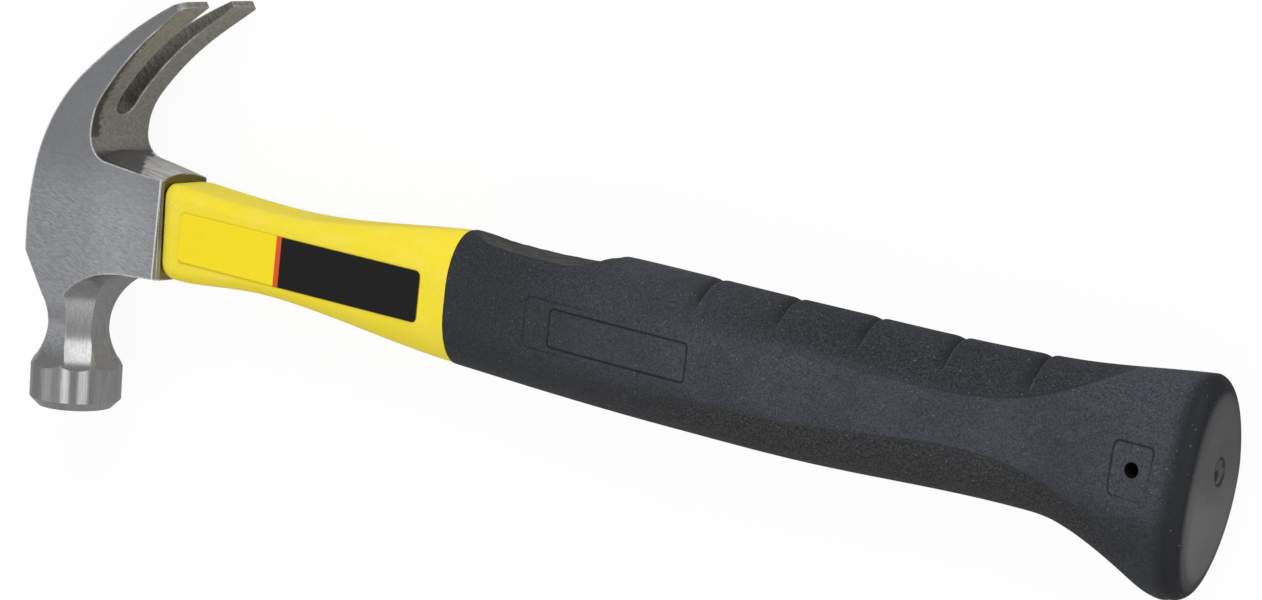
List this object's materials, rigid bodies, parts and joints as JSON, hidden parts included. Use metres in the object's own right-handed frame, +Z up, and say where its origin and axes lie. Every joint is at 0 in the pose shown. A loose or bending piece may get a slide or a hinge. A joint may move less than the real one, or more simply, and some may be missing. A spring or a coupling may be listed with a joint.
{
  "type": "curved claw hammer",
  "caption": "Curved claw hammer: steel head with a flat striking face, eight-sided neck and split nail claw, bonded to a fibreglass handle with a plastic jacket and rubber grip.",
  "frame": {"origin": "middle of the hammer's box, on the surface that it lies on", "axes": "+X from the head to the butt along the handle, +Y towards the claws, +Z up through the head's thickness"},
  "size_m": [0.3026, 0.0992, 0.0253],
  "materials": {
    "steel": "ground and clear coated",
    "fibreglass": "pultruded, sawn end",
    "epoxy": "cast",
    "yellow_plastic": "satin moulded",
    "black_rubber": "moulded, fine speckle",
    "label_film": "printed film"
  },
  "bodies": {
    "root": {"head": "steel", "core_rod": "fibreglass", "eye_epoxy": "epoxy", "jacket": "yellow_plastic", "grip": "black_rubber", "label_front": "label_film", "label_back": "label_film"}
  },
  "joints": []
}
